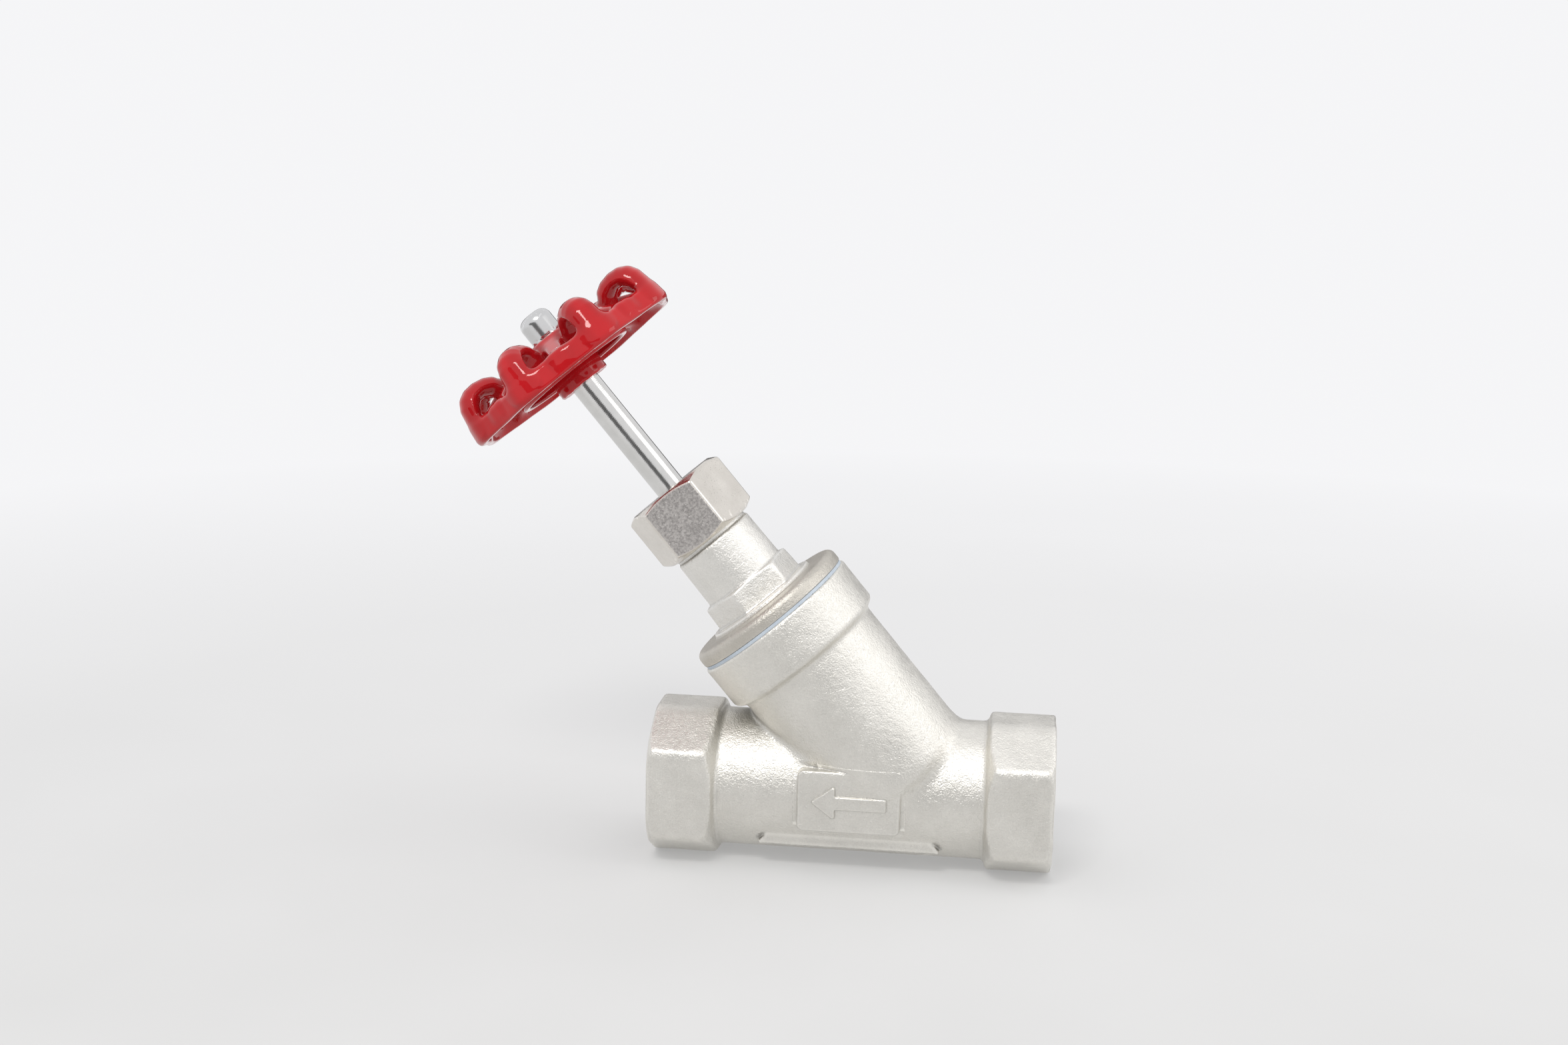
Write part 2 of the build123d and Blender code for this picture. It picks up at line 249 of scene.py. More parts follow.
def lathe(name, profile, segments=96):
    """Closed solid of revolution about the stem axis from a closed (r, h) outline that stays off the axis or ends on it."""
    pts = [(max(r, 0.0), h) for r, h in profile]
    n, m = len(pts), segments
    ang = np.arange(m) * 2 * math.pi / m
    co, index = [], []
    for r, h in pts:
        if r < 1e-6:
            index.append([len(co)] * m)
            co.append((0, 0, h))
        else:
            index.append(list(range(len(co), len(co) + m)))
            co.extend((r * math.cos(a), r * math.sin(a), h) for a in ang)
    quads, tris = [], []
    for i in range(n):
        j = (i + 1) % n
        if pts[i][0] < 1e-6 and pts[j][0] < 1e-6:
            continue
        for k in range(m):
            l = (k + 1) % m
            a, b, c, d = index[i][k], index[i][l], index[j][l], index[j][k]
            if a == b:
                tris.append((a, c, d))
            elif c == d:
                tris.append((a, b, c))
            else:
                quads.append((a, b, c, d))
    co = np.array(co, float)
    co = np.array([CX, 0, 0]) + co[:, :1] * SIDE + co[:, 1:2] * np.array([0, 1, 0]) + co[:, 2:3] * AXIS
    faces = [np.array(f) for f in (quads, tris) if len(f)]
    ob = mesh_object(name, co, faces)
    bm_volume = 0.0
    me = ob.data
    for f in faces:
        a, b, c = co[f[:, 0]], co[f[:, 1]], co[f[:, 2]]
        bm_volume += (a * np.cross(b, c)).sum()
        if f.shape[1] == 4:
            bm_volume += (a * np.cross(c, co[f[:, 3]])).sum()
    if bm_volume < 0:
        me.flip_normals()
    return ob


def waves(x, y, z, s, seed=0.0):
    """Cheap smooth pseudo-noise, about -1 to 1, feature size about s millimetres."""
    k = 6.283 / s
    return (np.sin(k * (0.83 * x + 0.41 * z) + 1.7 + seed) * np.sin(k * (0.77 * y - 0.36 * x) + 0.4 + seed)
            + np.sin(k * (0.61 * z + 0.52 * y) + 2.9 + seed) * np.sin(k * (0.93 * x - 0.29 * y) + 4.1)) * 0.5


# ------------------------------------------------------------------ body casting
def casting_outside(x, y, z, r, h, ryz):
    barrel = BARREL(r, h)
    neck = np.maximum(ryz - 18.1, np.abs(x + 52.5) - 46)
    d = smin(neck, barrel, 2.3)
    # low rail with sloping ends
    rail = smax(RAIL(x, z), np.abs(y) - 15.0, 0.5)
    d = smin(d, rail, 0.6)
    # hexagon ends
    f1 = np.abs(y) - 20.5
    f2 = np.abs(0.5 * y + 0.8660254 * z) - 20.5
    f3 = np.abs(0.5 * y - 0.8660254 * z) - 20.5
    hexa = smax(smax(f1, f2, 1.3), smax(f3, np.abs(z) - 19.8, 1.3), 1.3)
    for t in (-x, x + RUN):
        d = smin(d, smax(hexa, HEX_END(ryz, t), 0.9), 1.0)
    return d


def casting_inside(x, y, z, r, h, ryz):
    inlet = np.maximum(np.maximum(ryz - 12.5, h + 0.6), -x - 64)
    outlet = np.maximum(np.maximum(ryz - 12.5, 3.0 - h), x + 36.8)
    chamber = CHAMBER(r, h)
    cut = np.minimum(np.minimum(inlet, outlet), chamber)
    return cut


def threads(x, y, z, ryz, ang):
    cut = None
    for t, sgn in ((-x, 1.0), (x + RUN, -1.0)):
        turn = np.cos(2 * math.pi * t / 2.309 - sgn * ang)
        depth = np.clip((15.8 - t) / 1.6, 0, 1)
        rr = 15.2 + 1.35 * depth * (0.5 + 0.5 * turn)
        port = np.maximum((ryz - rr) * 0.62, t - 17.0)
        lead = np.maximum((ryz - (17.3 - t)) * 0.707, t - 2.5)
        run_out = np.maximum(ryz - (15.2 - np.maximum(t - 17.0, 0) * 1.9), t - 18.4)
        one = np.minimum(np.minimum(port, lead), run_out)
        one = np.maximum(one, -t - 3)
        cut = one if cut is None else np.minimum(cut, one)
    return cut


BARREL = Profile([(-30, 2.4), (20.4, 2.4, 4.8), (20.4, 45.0, 1.6), (22.95, 46.4, 1.6), (23.0, 58.5, 0.55), (-30, 58.5)])
HEX_END = Profile([(-30, 0), (21.0, 0, 0.3), (24.2, 1.4, 0.4), (24.2, 14.9, 0.8), (20.5, 16.9, 0.4), (18.2, 17.7), (-30, 17.7)])
CHAMBER = Profile([(-30, 3.0), (16.5, 3.0, 0.8), (16.5, 45.2), (19.0, 46.2), (19.0, 62), (-30, 62)])
RAIL = Profile([(-76.6, -13.4, 0.5), (-28.2, -13.4, 0.5), (-31.2, -10.1, 0.3), (-73.6, -10.1, 0.3)])
PAD = Profile([(-65.6, -7.6, 1.6), (-39.0, -7.6, 1.6), (-39.0, 8.6, 1.6), (-65.6, 8.6, 1.6)])
ARROW = Profile([(-62.0, 0.5, 0.5), (-55.8, 5.1, 0.5), (-55.8, 2.2, 0.3), (-42.6, 2.2, 0.4), (-42.6, -1.2, 0.4), (-55.8, -1.2, 0.3), (-55.8, -4.1, 0.5)])
SEAT = Profile([(9.5, 2.0), (12.9, 2.0), (12.9, 3.9, 0.3), (12.4, 4.6, 0.3), (9.5, 4.6)])


def casting(F, fine):
    x, y, z = F.x, F.y, F.z
    xx = x - CX
    u, h = xx * S + z * C, -xx * C + z * S
    r = np.sqrt(u * u + y * y)
    ryz = np.sqrt(y * y + z * z)
    ang = np.arctan2(z, y)
    h3 = np.broadcast_to(h, F.n)
    d = casting_outside(x, y, z, r, h3, ryz)
    pad2 = PAD(x, z)
    pad = smax(smax(pad2, -19.4 - y, 0.7), y + 2.0, 0.5)
    d = smin(d, pad, 0.4)
    near = np.clip(1 - np.maximum(np.abs(h3 - 58.5) - 1.0, 0) / 2, 0, 1)
    d = d + (1 - near) * 0.045 * waves(x, y, z, 9.0) + (1 - near) * 0.02 * waves(x, y, z, 3.7, 2.0)
    if fine:
        arrow = smax(ARROW(x, z), -20.12 - y, 0.35)
        arrow = smax(arrow, y + 15.0, 0.3)
        d = smin(d, arrow, 0.15)
        return d
    # the fine patch stands for this area
    window = np.maximum(np.maximum(np.abs(x + 52.3) - 14.6, np.abs(z - 0.5) - 9.4), y + 15.0)
    d = d + 0.22 * np.clip(-window / 0.8, 0, 1)
    cut = casting_inside(x, y, z, r, h3, ryz)
    d = smax(d, -cut, 0.5)
    d = smin(d, SEAT(r, h3), 0.4)
    orifice = np.maximum(r - 10.5, np.abs(h3 + 4.0) - 10.6)
    d = smax(d, -orifice, 0.3)
    d = smax(d, -threads(x, y, z, ryz, ang), 0.25)
    return d


F = Field((-106.2, -25.2, -21.0), (1.2, 25.2, 60.6), 0.36)
body = F.mesh(casting(F, False), "body_casting", adaptivity=0.02)

F = Field((-67.3, -20.9, -9.3), (-37.3, -16.0, 10.3), 0.12)
d = casting(F, True)
win = np.maximum(np.maximum(np.abs(F.x + 52.3) - 14.6, np.abs(F.z - 0.5) - 9.4), F.y + 16.6)
pad_patch = F.mesh(np.maximum(d, win), "body_marking_pad", adaptivity=0.02)

# ------------------------------------------------------------------ bonnet
HEXROT = {}


def hexagon(x, y, af, turn, k):
    """Hexagon across flats af; the flat that faces -Y is turned by `turn` degrees."""
    d = None
    for i in range(3):
        a = math.radians(-90 + turn + 60 * i)
        f = np.abs(x * math.cos(a) + y * math.sin(a)) - af / 2
        d = f if d is None else smax(d, f, k)
    return d


BON = Profile([(-30, 46.6), (18.0, 46.6), (18.9, 47.5), (18.9, 59.3), (22.6, 59.3, 0.35), (22.62, 63.2, 1.9),
               (15.6, 63.3, 0.35), (15.45, 64.35, 0.45), (-30, 64.35)])
BON_CAP = Profile([(-30, 63.0), (14.4, 63.0), (13.6, 65.5), (13.1, 70.6, 0.5), (11.9, 70.9), (10.0, 70.9), (-30, 70.9)])
BON_NECK = Profile([(-30, 63), (11.6, 63), (11.5, 71.5), (11.32, 83.9, 0.5), (10.75, 84.4, 0.2), (10.75, 96.7), (10.0, 97.5), (-30, 97.5)])
BON_BORE = Profile([(-30, 46), (7.2, 46), (7.2, 46.6), (6.08, 47.8), (6.08, 80.2), (4.06, 80.4), (4.06, 82.2), (7.6, 82.2), (7.6, 99), (-30, 99)])

F = Field((-23.4, -23.4, 46.0), (23.4, 23.4, 98.3), 0.27)
x, y, h = F.x, F.y, F.z
r = np.sqrt(x * x + y * y)
ang = np.arctan2(y, x)
d = BON(r, h)
bhex = smax(hexagon(x, y, 23.5, 20.0, 0.5), BON_CAP(r, h), 0.4)
d = smin(d, bhex, 0.6)
neck = BON_NECK(r, h)
d = smin(d, neck, 0.5)
d = d + 0.015 * waves(x, y, h, 8.0, 1.0) * np.clip((h - 63.6) / 1.5, 0, 1)
tooth = r - (10.6 + 0.42 * (0.5 + 0.5 * np.cos(2 * math.pi * h / 1.5 - ang)))
thread = np.maximum(np.maximum(tooth * 0.7, 84.0 - h), h - 96.9)
d = np.minimum(d, thread)
d = smax(d, -BON_BORE(r, h), 0.2)
bonnet = F.mesh(d, "bonnet_casting", stem_frame=True, adaptivity=0.02)

# ------------------------------------------------------------------ gland nut
GLAND = Profile([(-30, 85.2), (12.3, 85.2, 0.2), (15.35, 86.95, 0.3), (15.35, 100.0, 0.3), (12.35, 101.6, 0.3), (-30, 101.6)])
GLAND_BORE = Profile([(-30, 84), (11.7, 84), (11.7, 85.2), (11.06, 85.9), (11.06, 99.4), (4.15, 99.4), (4.15, 101.0), (4.9, 102.4), (-30, 102.4)])
F = Field((-15.9, -15.9, 84.6), (15.9, 15.9, 102.2), 0.19)
x, y, h = F.x, F.y, F.z
r = np.sqrt(x * x + y * y)
d = smax(hexagon(x, y, 26.0, 3.0, 0.55), GLAND(r, h), 0.45)
d = d + 0.012 * waves(x, y, h, 6.0, 3.0)
d = smax(d, -GLAND_BORE(r, h), 0.25)
gland = F.mesh(d, "gland_nut_plated", stem_frame=True, adaptivity=0.01)

# ------------------------------------------------------------------ dome nut
DOME = Profile([(-30, W + 12.2), (4.45, W + 12.2), (4.55, W + 12.6, 0.3), (4.55, W + 19.15, 2.6), (-4.0, W + 19.25), (-30, W + 19.25)], step=0.03, corners=14)
DOME_BASE = Profile([(-30, W + 7.8), (4.7, W + 7.8, 0.15), (4.97, W + 8.1, 0.15), (4.97, W + 11.8, 0.2), (4.5, W + 12.4, 0.2), (-30, W + 12.4)], step=0.04)
DOME_HOLE = Profile([(-30, W + 7), (3.4, W + 7), (3.4, W + 7.8), (3.05, W + 8.3), (3.05, W + 15.9), (-3.0, W + 18.4), (-30, W + 18.4)], step=0.05)
F = Field((-5.3, -5.3, W + 7.3), (5.3, 5.3, W + 19.7), 0.11)
x, y, h = F.x, F.y, F.z
r = np.sqrt(x * x + y * y)
d = smax(hexagon(x, y, 8.6, 12.0, 0.3), DOME_BASE(r, h), 0.3)
d = smin(d, DOME(r, h), 0.25)
hole = np.maximum(np.maximum(r - 3.05, h - (W + 16.2)), -(h - W))
d = smax(d, -hole, 0.1)
dome = F.mesh(d, "dome_nut_polished", stem_frame=True)

# ------------------------------------------------------------------ handwheel
RIM = Profile([(30.1, W + 0.0, 0.3), (32.15, W + 0.0, 0.7), (32.0, W + 1.5, 0.5), (31.4, W + 4.9, 1.3), (30.3, W + 5.6, 1.0), (28.6, W + 5.5, 1.0), (27.8, W + 4.4, 0.9), (29.2, W + 2.2, 0.9)])
CUP = Profile([(7.0, W + 7.4), (14.6, W + 6.9, 1.0), (15.2, W + 5.8, 0.8), (15.2, W + 0.3, 0.5), (16.9, W + 0.2, 0.6), (17.2, W + 1.0, 0.6), (17.2, W + 8.6, 1.4),
               (16.0, W + 10.75, 1.3), (9.0, W + 10.75, 0.7), (8.3, W + 9.4, 0.4), (7.0, W + 9.4)])
HUB = Profile([(-30, W - 3.4), (6.9, W - 3.4, 0.4), (7.3, W - 3.0, 0.5), (7.35, W + 3.0), (8.2, W + 7.8), (8.3, W + 9.3), (7.7, W + 9.3), (7.6, W + 6.95, 0.3), (-30, W + 6.9)])
SPOKE = Profile([(14.8, W + 4.4), (20.0, W + 3.4, 2.0), (29.0, W + 1.0, 0.6), (30.0, W + 2.2, 1.0), (29.9, W + 5.3, 1.2), (27.5, W + 5.7, 1.5), (16.4, W + 10.3, 1.2), (14.8, W + 10.3)])
ARCH = Profile([(32.2, W + 0.9, 0.5), (31.7, W + 6.8, 3.0), (31.1, W + 10.0, 2.5), (29.7, W + 12.4, 3.0), (27.2, W + 13.75, 3.0), (24.3, W + 14.1, 3.0),
                (21.2, W + 13.6, 3.0), (18.9, W + 12.4, 2.5), (17.5, W + 10.0, 2.5), (17.0, W + 7.6, 2.0), (16.5, W + 6.4, 1.5), (16.0, W + 3.0), (17.6, W + 3.0, 0.6),
                (20.4, W + 4.8, 1.5), (21.0, W + 7.0, 1.5), (22.0, W + 8.6, 1.2), (23.8, W + 9.4, 1.2), (25.4, W + 9.2, 1.2), (26.7, W + 8.0, 1.5),
                (27.7, W + 6.0, 1.5), (28.7, W + 2.0)])
PHI = math.radians(-77.6)

F = Field((-33.4, -33.4, W - 4.0), (33.4, 33.4, W + 14.8), 0.25)
x, y, h = F.x, F.y, F.z
r = np.sqrt(x * x + y * y)
ang = np.arctan2(y, x)


def fold(offset):
    q = math.pi / 4
    a = np.mod(ang - PHI - offset + q / 2, q) - q / 2
    return r * np.cos(a), r * np.sin(a)


h3 = np.broadcast_to(h, F.n)
saddle = 0.9 * (1 + np.cos(8 * (ang - PHI)))      # the rim is drawn in between the arches
d = RIM(r + saddle, h3)
d = smin(d, CUP(r, h3), 1.0)
d = smin(d, HUB(r, h3), 1.2)
a, t = fold(0.0)
flare = np.clip((21.5 - a) / 5.0, 0, 1)
spoke = smax(SPOKE(a, h3), np.abs(t) - (2.55 + 1.3 * flare * flare), 2.2)
d = smin(d, spoke, 1.7)
a, t = fold(math.pi / 8)
high = np.clip((h3 - W - 2.0) / 11.0, 0, 1)
half = 4.45 - 0.6 * high * high
arch = smax(ARCH(a, h3), np.abs(t) - half, 4.2)
d = smin(d, arch, 1.9)
d = d + 0.02 * waves(x, y, h, 11.0, 5.0)
# ragged paint edge at the foot of the hub
foot = np.clip((W - 1.6 - h) / 1.6, 0, 1) * np.clip((9 - r) / 1.0, 0, 1)
d = d + foot * 0.10 * np.sin(ang * 9 + 1.3) * np.sin(ang * 4 + 0.4)
d = smax(d, -np.maximum(np.maximum(np.abs(x), np.abs(y)) - 3.03, -1e3), 0.3)
wheel = F.mesh(d, "handwheel_enamel", stem_frame=True)

# ------------------------------------------------------------------ stem
prof = [(0.0, 34.9), (7.2, 34.9), (7.55, 35.25), (7.6, 35.6), (7.6, 37.2), (7.5, 37.7), (7.2, 37.9), (6.0, 37.9)]
hh = 38.4
while hh < 79.0:      # stem thread, 2 mm pitch rings read as thread form inside the bonnet
    k = hh % 2.0
    prof.append((6.0 - (0.0 if k < 0.9 else 0.85), hh))
    hh += 0.5
prof += [(6.0, 79.0), (5.4, 79.6), (4.0, 79.6), (4.0, 84.0)]
hh = 100.5
prof.append((4.0, 100.0))
while hh < W - 0.2:
    prof.append((3.996 + 0.0016 * math.sin(hh * 2 * math.pi / 0.5) + 0.002 * math.sin(hh * 2 * math.pi / 2.3), hh))
    hh += 0.06
prof += [(3.99, W + 0.6), (3.99, 146.5), (3.0, 146.8), (3.0, 155.2), (2.5, 155.8), (0.0, 155.8)]
stem_prof = prof
stem = lathe("stem_polished", prof, 72)


# ------------------------------------------------------------------ materials
def new_material(name):
    m = bpy.data.materials.new(name)
    m.use_nodes = True
    nt = m.node_tree
    nt.nodes.clear()
    out = nt.nodes.new("ShaderNodeOutputMaterial")
    b = nt.nodes.new("ShaderNodeBsdfPrincipled")
    nt.links.new(b.outputs[0], out.inputs[0])
    co = nt.nodes.new("ShaderNodeTexCoord")
    return m, nt, b, co.outputs["Object"]


def noise(nt, co, scale, detail=3.0, rough=0.55, stretch=None):
    if stretch is not None:
        mp = nt.nodes.new("ShaderNodeMapping")
        mp.inputs["Scale"].default_value = stretch
        nt.links.new(co, mp.inputs["Vector"])
        co = mp.outputs[0]
    n = nt.nodes.new("ShaderNodeTexNoise")
    n.inputs["Scale"].default_value = scale
    n.inputs["Detail"].default_value = detail
    n.inputs["Roughness"].default_value = rough
    nt.links.new(co, n.inputs["Vector"])
    return n.outputs["Fac"]


def voronoi(nt, co, scale, feature="F1"):
    n = nt.nodes.new("ShaderNodeTexVoronoi")
    n.feature = feature
    n.inputs["Scale"].default_value = scale
    nt.links.new(co, n.inputs["Vector"])
    return n


def ramp(nt, value, lo, hi, a, b):
    n = nt.nodes.new("ShaderNodeMapRange")
    for k, v in zip(("From Min", "From Max", "To Min", "To Max"), (lo, hi, a, b)):
        n.inputs[k].default_value = v
    nt.links.new(value, n.inputs["Value"])
    return n.outputs[0]


def mix(nt, fac, a, b, blend="MIX"):
    n = nt.nodes.new("ShaderNodeMix")
    n.data_type = "RGBA"
    n.blend_type = blend
    if isinstance(fac, float):
        n.inputs[0].default_value = fac
    else:
        nt.links.new(fac, n.inputs[0])
    for sock, v in ((n.inputs[6], a), (n.inputs[7], b)):
        if isinstance(v, tuple):
            sock.default_value = (*v, 1.0)
        else:
            nt.links.new(v, sock)
    return n.outputs[2]


def maths(nt, op, a, b):
    n = nt.nodes.new("ShaderNodeMath")
    n.operation = op
    for sock, v in ((n.inputs[0], a), (n.inputs[1], b)):
        if isinstance(v, (int, float)):
            sock.default_value = v
        else:
            nt.links.new(v, sock)
    return n.outputs[0]


def bump(nt, height, distance, strength=1.0, normal=None):
    n = nt.nodes.new("ShaderNodeBump")
    n.inputs["Distance"].default_value = distance
    n.inputs["Strength"].default_value = strength
    nt.links.new(height, n.inputs["Height"])
    if normal is not None:
        nt.links.new(normal, n.inputs["Normal"])
    return n.outputs[0]


def pointiness(nt, lo, hi):
    g = nt.nodes.new("ShaderNodeNewGeometry")
    return ramp(nt, g.outputs["Pointiness"], lo, hi, 0.0, 1.0)


def shape_mask(nt, key, lo, hi):
    """1 in creases ("hollow") or on edges ("ridge") of a piece; 0 on flat skin."""
    n = nt.nodes.new("ShaderNodeAttribute")
    n.attribute_name = key
    return ramp(nt, n.outputs["Fac"], lo, hi, 0.0, 1.0)


def cast_metal(name, light, dark, rough, grain=1.0, spots=0.5, edge=0.6):
    """Blasted cast stainless: sandy grain, faint stains, edges painted lighter as a painted highlight and made
    smoother, creases painted darker as painted shade.
    """
    m, nt, b, co = new_material(name)
    blot = noise(nt, co, 95, 4.0, 0.6)
    fine = noise(nt, co, 2300, 2.0, 0.6)
    mid = noise(nt, co, 700, 3.0, 0.6)
    col = mix(nt, ramp(nt, blot, 0.35, 0.65, 0.0, 1.0), dark, light)
    col = mix(nt, ramp(nt, fine, 0.25, 0.75, 0.0, 0.30 * grain), col, tuple(c * 0.72 for c in dark))
    speck = voronoi(nt, co, 900)
    dots = ramp(nt, speck.outputs["Distance"], 0.06, 0.16, 0.45 * spots, 0.0)
    far = noise(nt, co, 260, 2.0, 0.5)
    dots = maths(nt, "MULTIPLY", dots, ramp(nt, far, 0.52, 0.62, 0.0, 1.0))
    col = mix(nt, dots, col, tuple(c * 0.42 for c in dark))
    # edges painted lighter: painted highlight
    col = mix(nt, maths(nt, "MULTIPLY", shape_mask(nt, "ridge", 0.10, 0.5), 0.8), col, tuple(min(1.0, c * 1.16) for c in light))
    # creases painted darker: painted shade
    col = mix(nt, maths(nt, "MULTIPLY", shape_mask(nt, "hollow", 0.10, 0.6), 0.75), col, tuple(c * 0.42 for c in dark))
    nt.links.new(col, b.inputs["Base Color"])
    b.inputs["Metallic"].default_value = 1.0
    rg = maths(nt, "ADD", ramp(nt, mid, 0.3, 0.7, rough - 0.05, rough + 0.06), ramp(nt, blot, 0.35, 0.7, -0.03, 0.04))
    nt.links.new(maths(nt, "SUBTRACT", rg, maths(nt, "MULTIPLY", shape_mask(nt, "ridge", 0.10, 0.5), 0.10)), b.inputs["Roughness"])
    n1 = bump(nt, mid, 0.00018 * grain, 1.0)
    n2 = bump(nt, fine, 0.00016 * grain, 1.0, n1)
    nt.links.new(n2, b.inputs["Normal"])
    return m


def bright_metal(name, light, dark, rough, bump_mm=0.004, scale=350, spots=0.0, stretch=None):
    """Plated or turned metal: faint cloudiness, hairline marks, tiny pits."""
    m, nt, b, co = new_material(name)
    blot = noise(nt, co, 130, 4.0, 0.6)
    hair = noise(nt, co, scale, 4.0, 0.7, stretch or (1, 1, 1))
    col = mix(nt, ramp(nt, blot, 0.3, 0.7, 0.0, 1.0), dark, light)
    col = mix(nt, ramp(nt, hair, 0.3, 0.8, 0.0, 0.25), col, tuple(c * 0.7 for c in dark))
    if spots:
        v = voronoi(nt, co, 1500)
        pit = ramp(nt, v.outputs["Distance"], 0.10, 0.3, spots, 0.0)
        area = noise(nt, co, 210, 3.0, 0.6)
        pit = maths(nt, "MULTIPLY", pit, ramp(nt, area, 0.42, 0.6, 0.0, 1.0))
        col = mix(nt, pit, col, tuple(c * 0.35 for c in dark))
    # convex edges painted lighter: painted highlight
    col = mix(nt, pointiness(nt, 0.52, 0.58), col, tuple(min(1.0, c * 1.15) for c in light))
    nt.links.new(col, b.inputs["Base Color"])
    b.inputs["Metallic"].default_value = 1.0
    nt.links.new(maths(nt, "ADD", ramp(nt, blot, 0.3, 0.7, rough * 0.8, rough * 1.25), ramp(nt, hair, 0.3, 0.7, -0.02, 0.03)), b.inputs["Roughness"])
    nt.links.new(bump(nt, hair, bump_mm * MM, 1.0), b.inputs["Normal"])
    return m


def enamel():
    m, nt, b, co = new_material("red_enamel_thick")
    blot = noise(nt, co, 60, 3.0, 0.5)
    fine = noise(nt, co, 900, 2.0, 0.5)
    col = mix(nt, ramp(nt, blot, 0.3, 0.7, 0.0, 1.0), (0.40, 0.006, 0.009), (0.48, 0.008, 0.012))
    # creases painted darker red: painted shade
    col = mix(nt, maths(nt, "MULTIPLY", shape_mask(nt, "hollow", 0.05, 0.5), 0.6), col, (0.20, 0.004, 0.006))
    dust = voronoi(nt, co, 420)
    few = noise(nt, co, 90, 2.0, 0.5)
    mark = maths(nt, "MULTIPLY", ramp(nt, dust.outputs["Distance"], 0.03, 0.07, 0.25, 0.0), ramp(nt, few, 0.6, 0.7, 0.0, 1.0))
    col = mix(nt, mark, col, (0.85, 0.55, 0.5))
    nt.links.new(col, b.inputs["Base Color"])
    b.inputs["Metallic"].default_value = 0.0
    nt.links.new(ramp(nt, fine, 0.3, 0.7, 0.10, 0.17), b.inputs["Roughness"])
    b.inputs["Coat Weight"].default_value = 0.6
    b.inputs["Coat Roughness"].default_value = 0.02
    b.inputs["Specular IOR Level"].default_value = 0.12
    b.inputs["Subsurface Weight"].default_value = 0.0
    n1 = bump(nt, noise(nt, co, 90, 1.0, 0.4), 0.00005, 0.25)
    nt.links.new(bump(nt, fine, 0.000004, 0.5, n1), b.inputs["Normal"])
    nt.links.new(n1, b.inputs["Coat Normal"])
    return m


def plain_polymer(name, light, dark, rough):
    m, nt, b, co = new_material(name)
    blot = noise(nt, co, 220, 4.0, 0.6)
    fine = noise(nt, co, 1800, 3.0, 0.6)
    col = mix(nt, ramp(nt, blot, 0.3, 0.7, 0.0, 1.0), dark, light)
    col = mix(nt, ramp(nt, fine, 0.45, 0.75, 0.0, 0.25), col, tuple(c * 0.7 for c in dark))
    nt.links.new(col, b.inputs["Base Color"])
    nt.links.new(ramp(nt, fine, 0.3, 0.7, rough - 0.06, rough + 0.08), b.inputs["Roughness"])
    nt.links.new(bump(nt, fine, 0.00002, 0.8), b.inputs["Normal"])
    return m


CAST = cast_metal("cast_stainless_blasted", (0.85, 0.832, 0.785), (0.775, 0.757, 0.71), 0.45)
CAST2 = cast_metal("cast_stainless_bonnet", (0.89, 0.875, 0.84), (0.82, 0.805, 0.765), 0.46, grain=0.9, spots=0.5)
nt2 = CAST2.node_tree      # the flange is greyer than the neck
b2 = next(n for n in nt2.nodes if n.type == "BSDF_PRINCIPLED")
up2 = nt2.nodes.new("ShaderNodeVectorMath")
up2.operation = "DOT_PRODUCT"
nt2.links.new(next(n for n in nt2.nodes if n.type == "TEX_COORD").outputs["Object"], up2.inputs[0])
up2.inputs[1].default_value = tuple(AXIS)
h0 = -CX * C * MM
low2 = ramp(nt2, up2.outputs["Value"], h0 + 0.0633, h0 + 0.0640, 1.0, 0.0)
old2 = b2.inputs["Base Color"].links[0].from_socket
nt2.links.new(mix(nt2, low2, old2, (0.72, 0.70, 0.665), "MULTIPLY"), b2.inputs["Base Color"])


def facet_mask(nt, normal, lo=0.93, hi=0.985):
    """1 on faces whose normal, in the piece's own frame, is near the given direction."""
    co = nt.nodes.new("ShaderNodeTexCoord")
    n = nt.nodes.new("ShaderNodeVectorMath")
    n.operation = "DOT_PRODUCT"
    nt.links.new(co.outputs["Normal"], n.inputs[0])
    n.inputs[1].default_value = normal
    return ramp(nt, n.outputs["Value"], lo, hi, 0.0, 1.0)


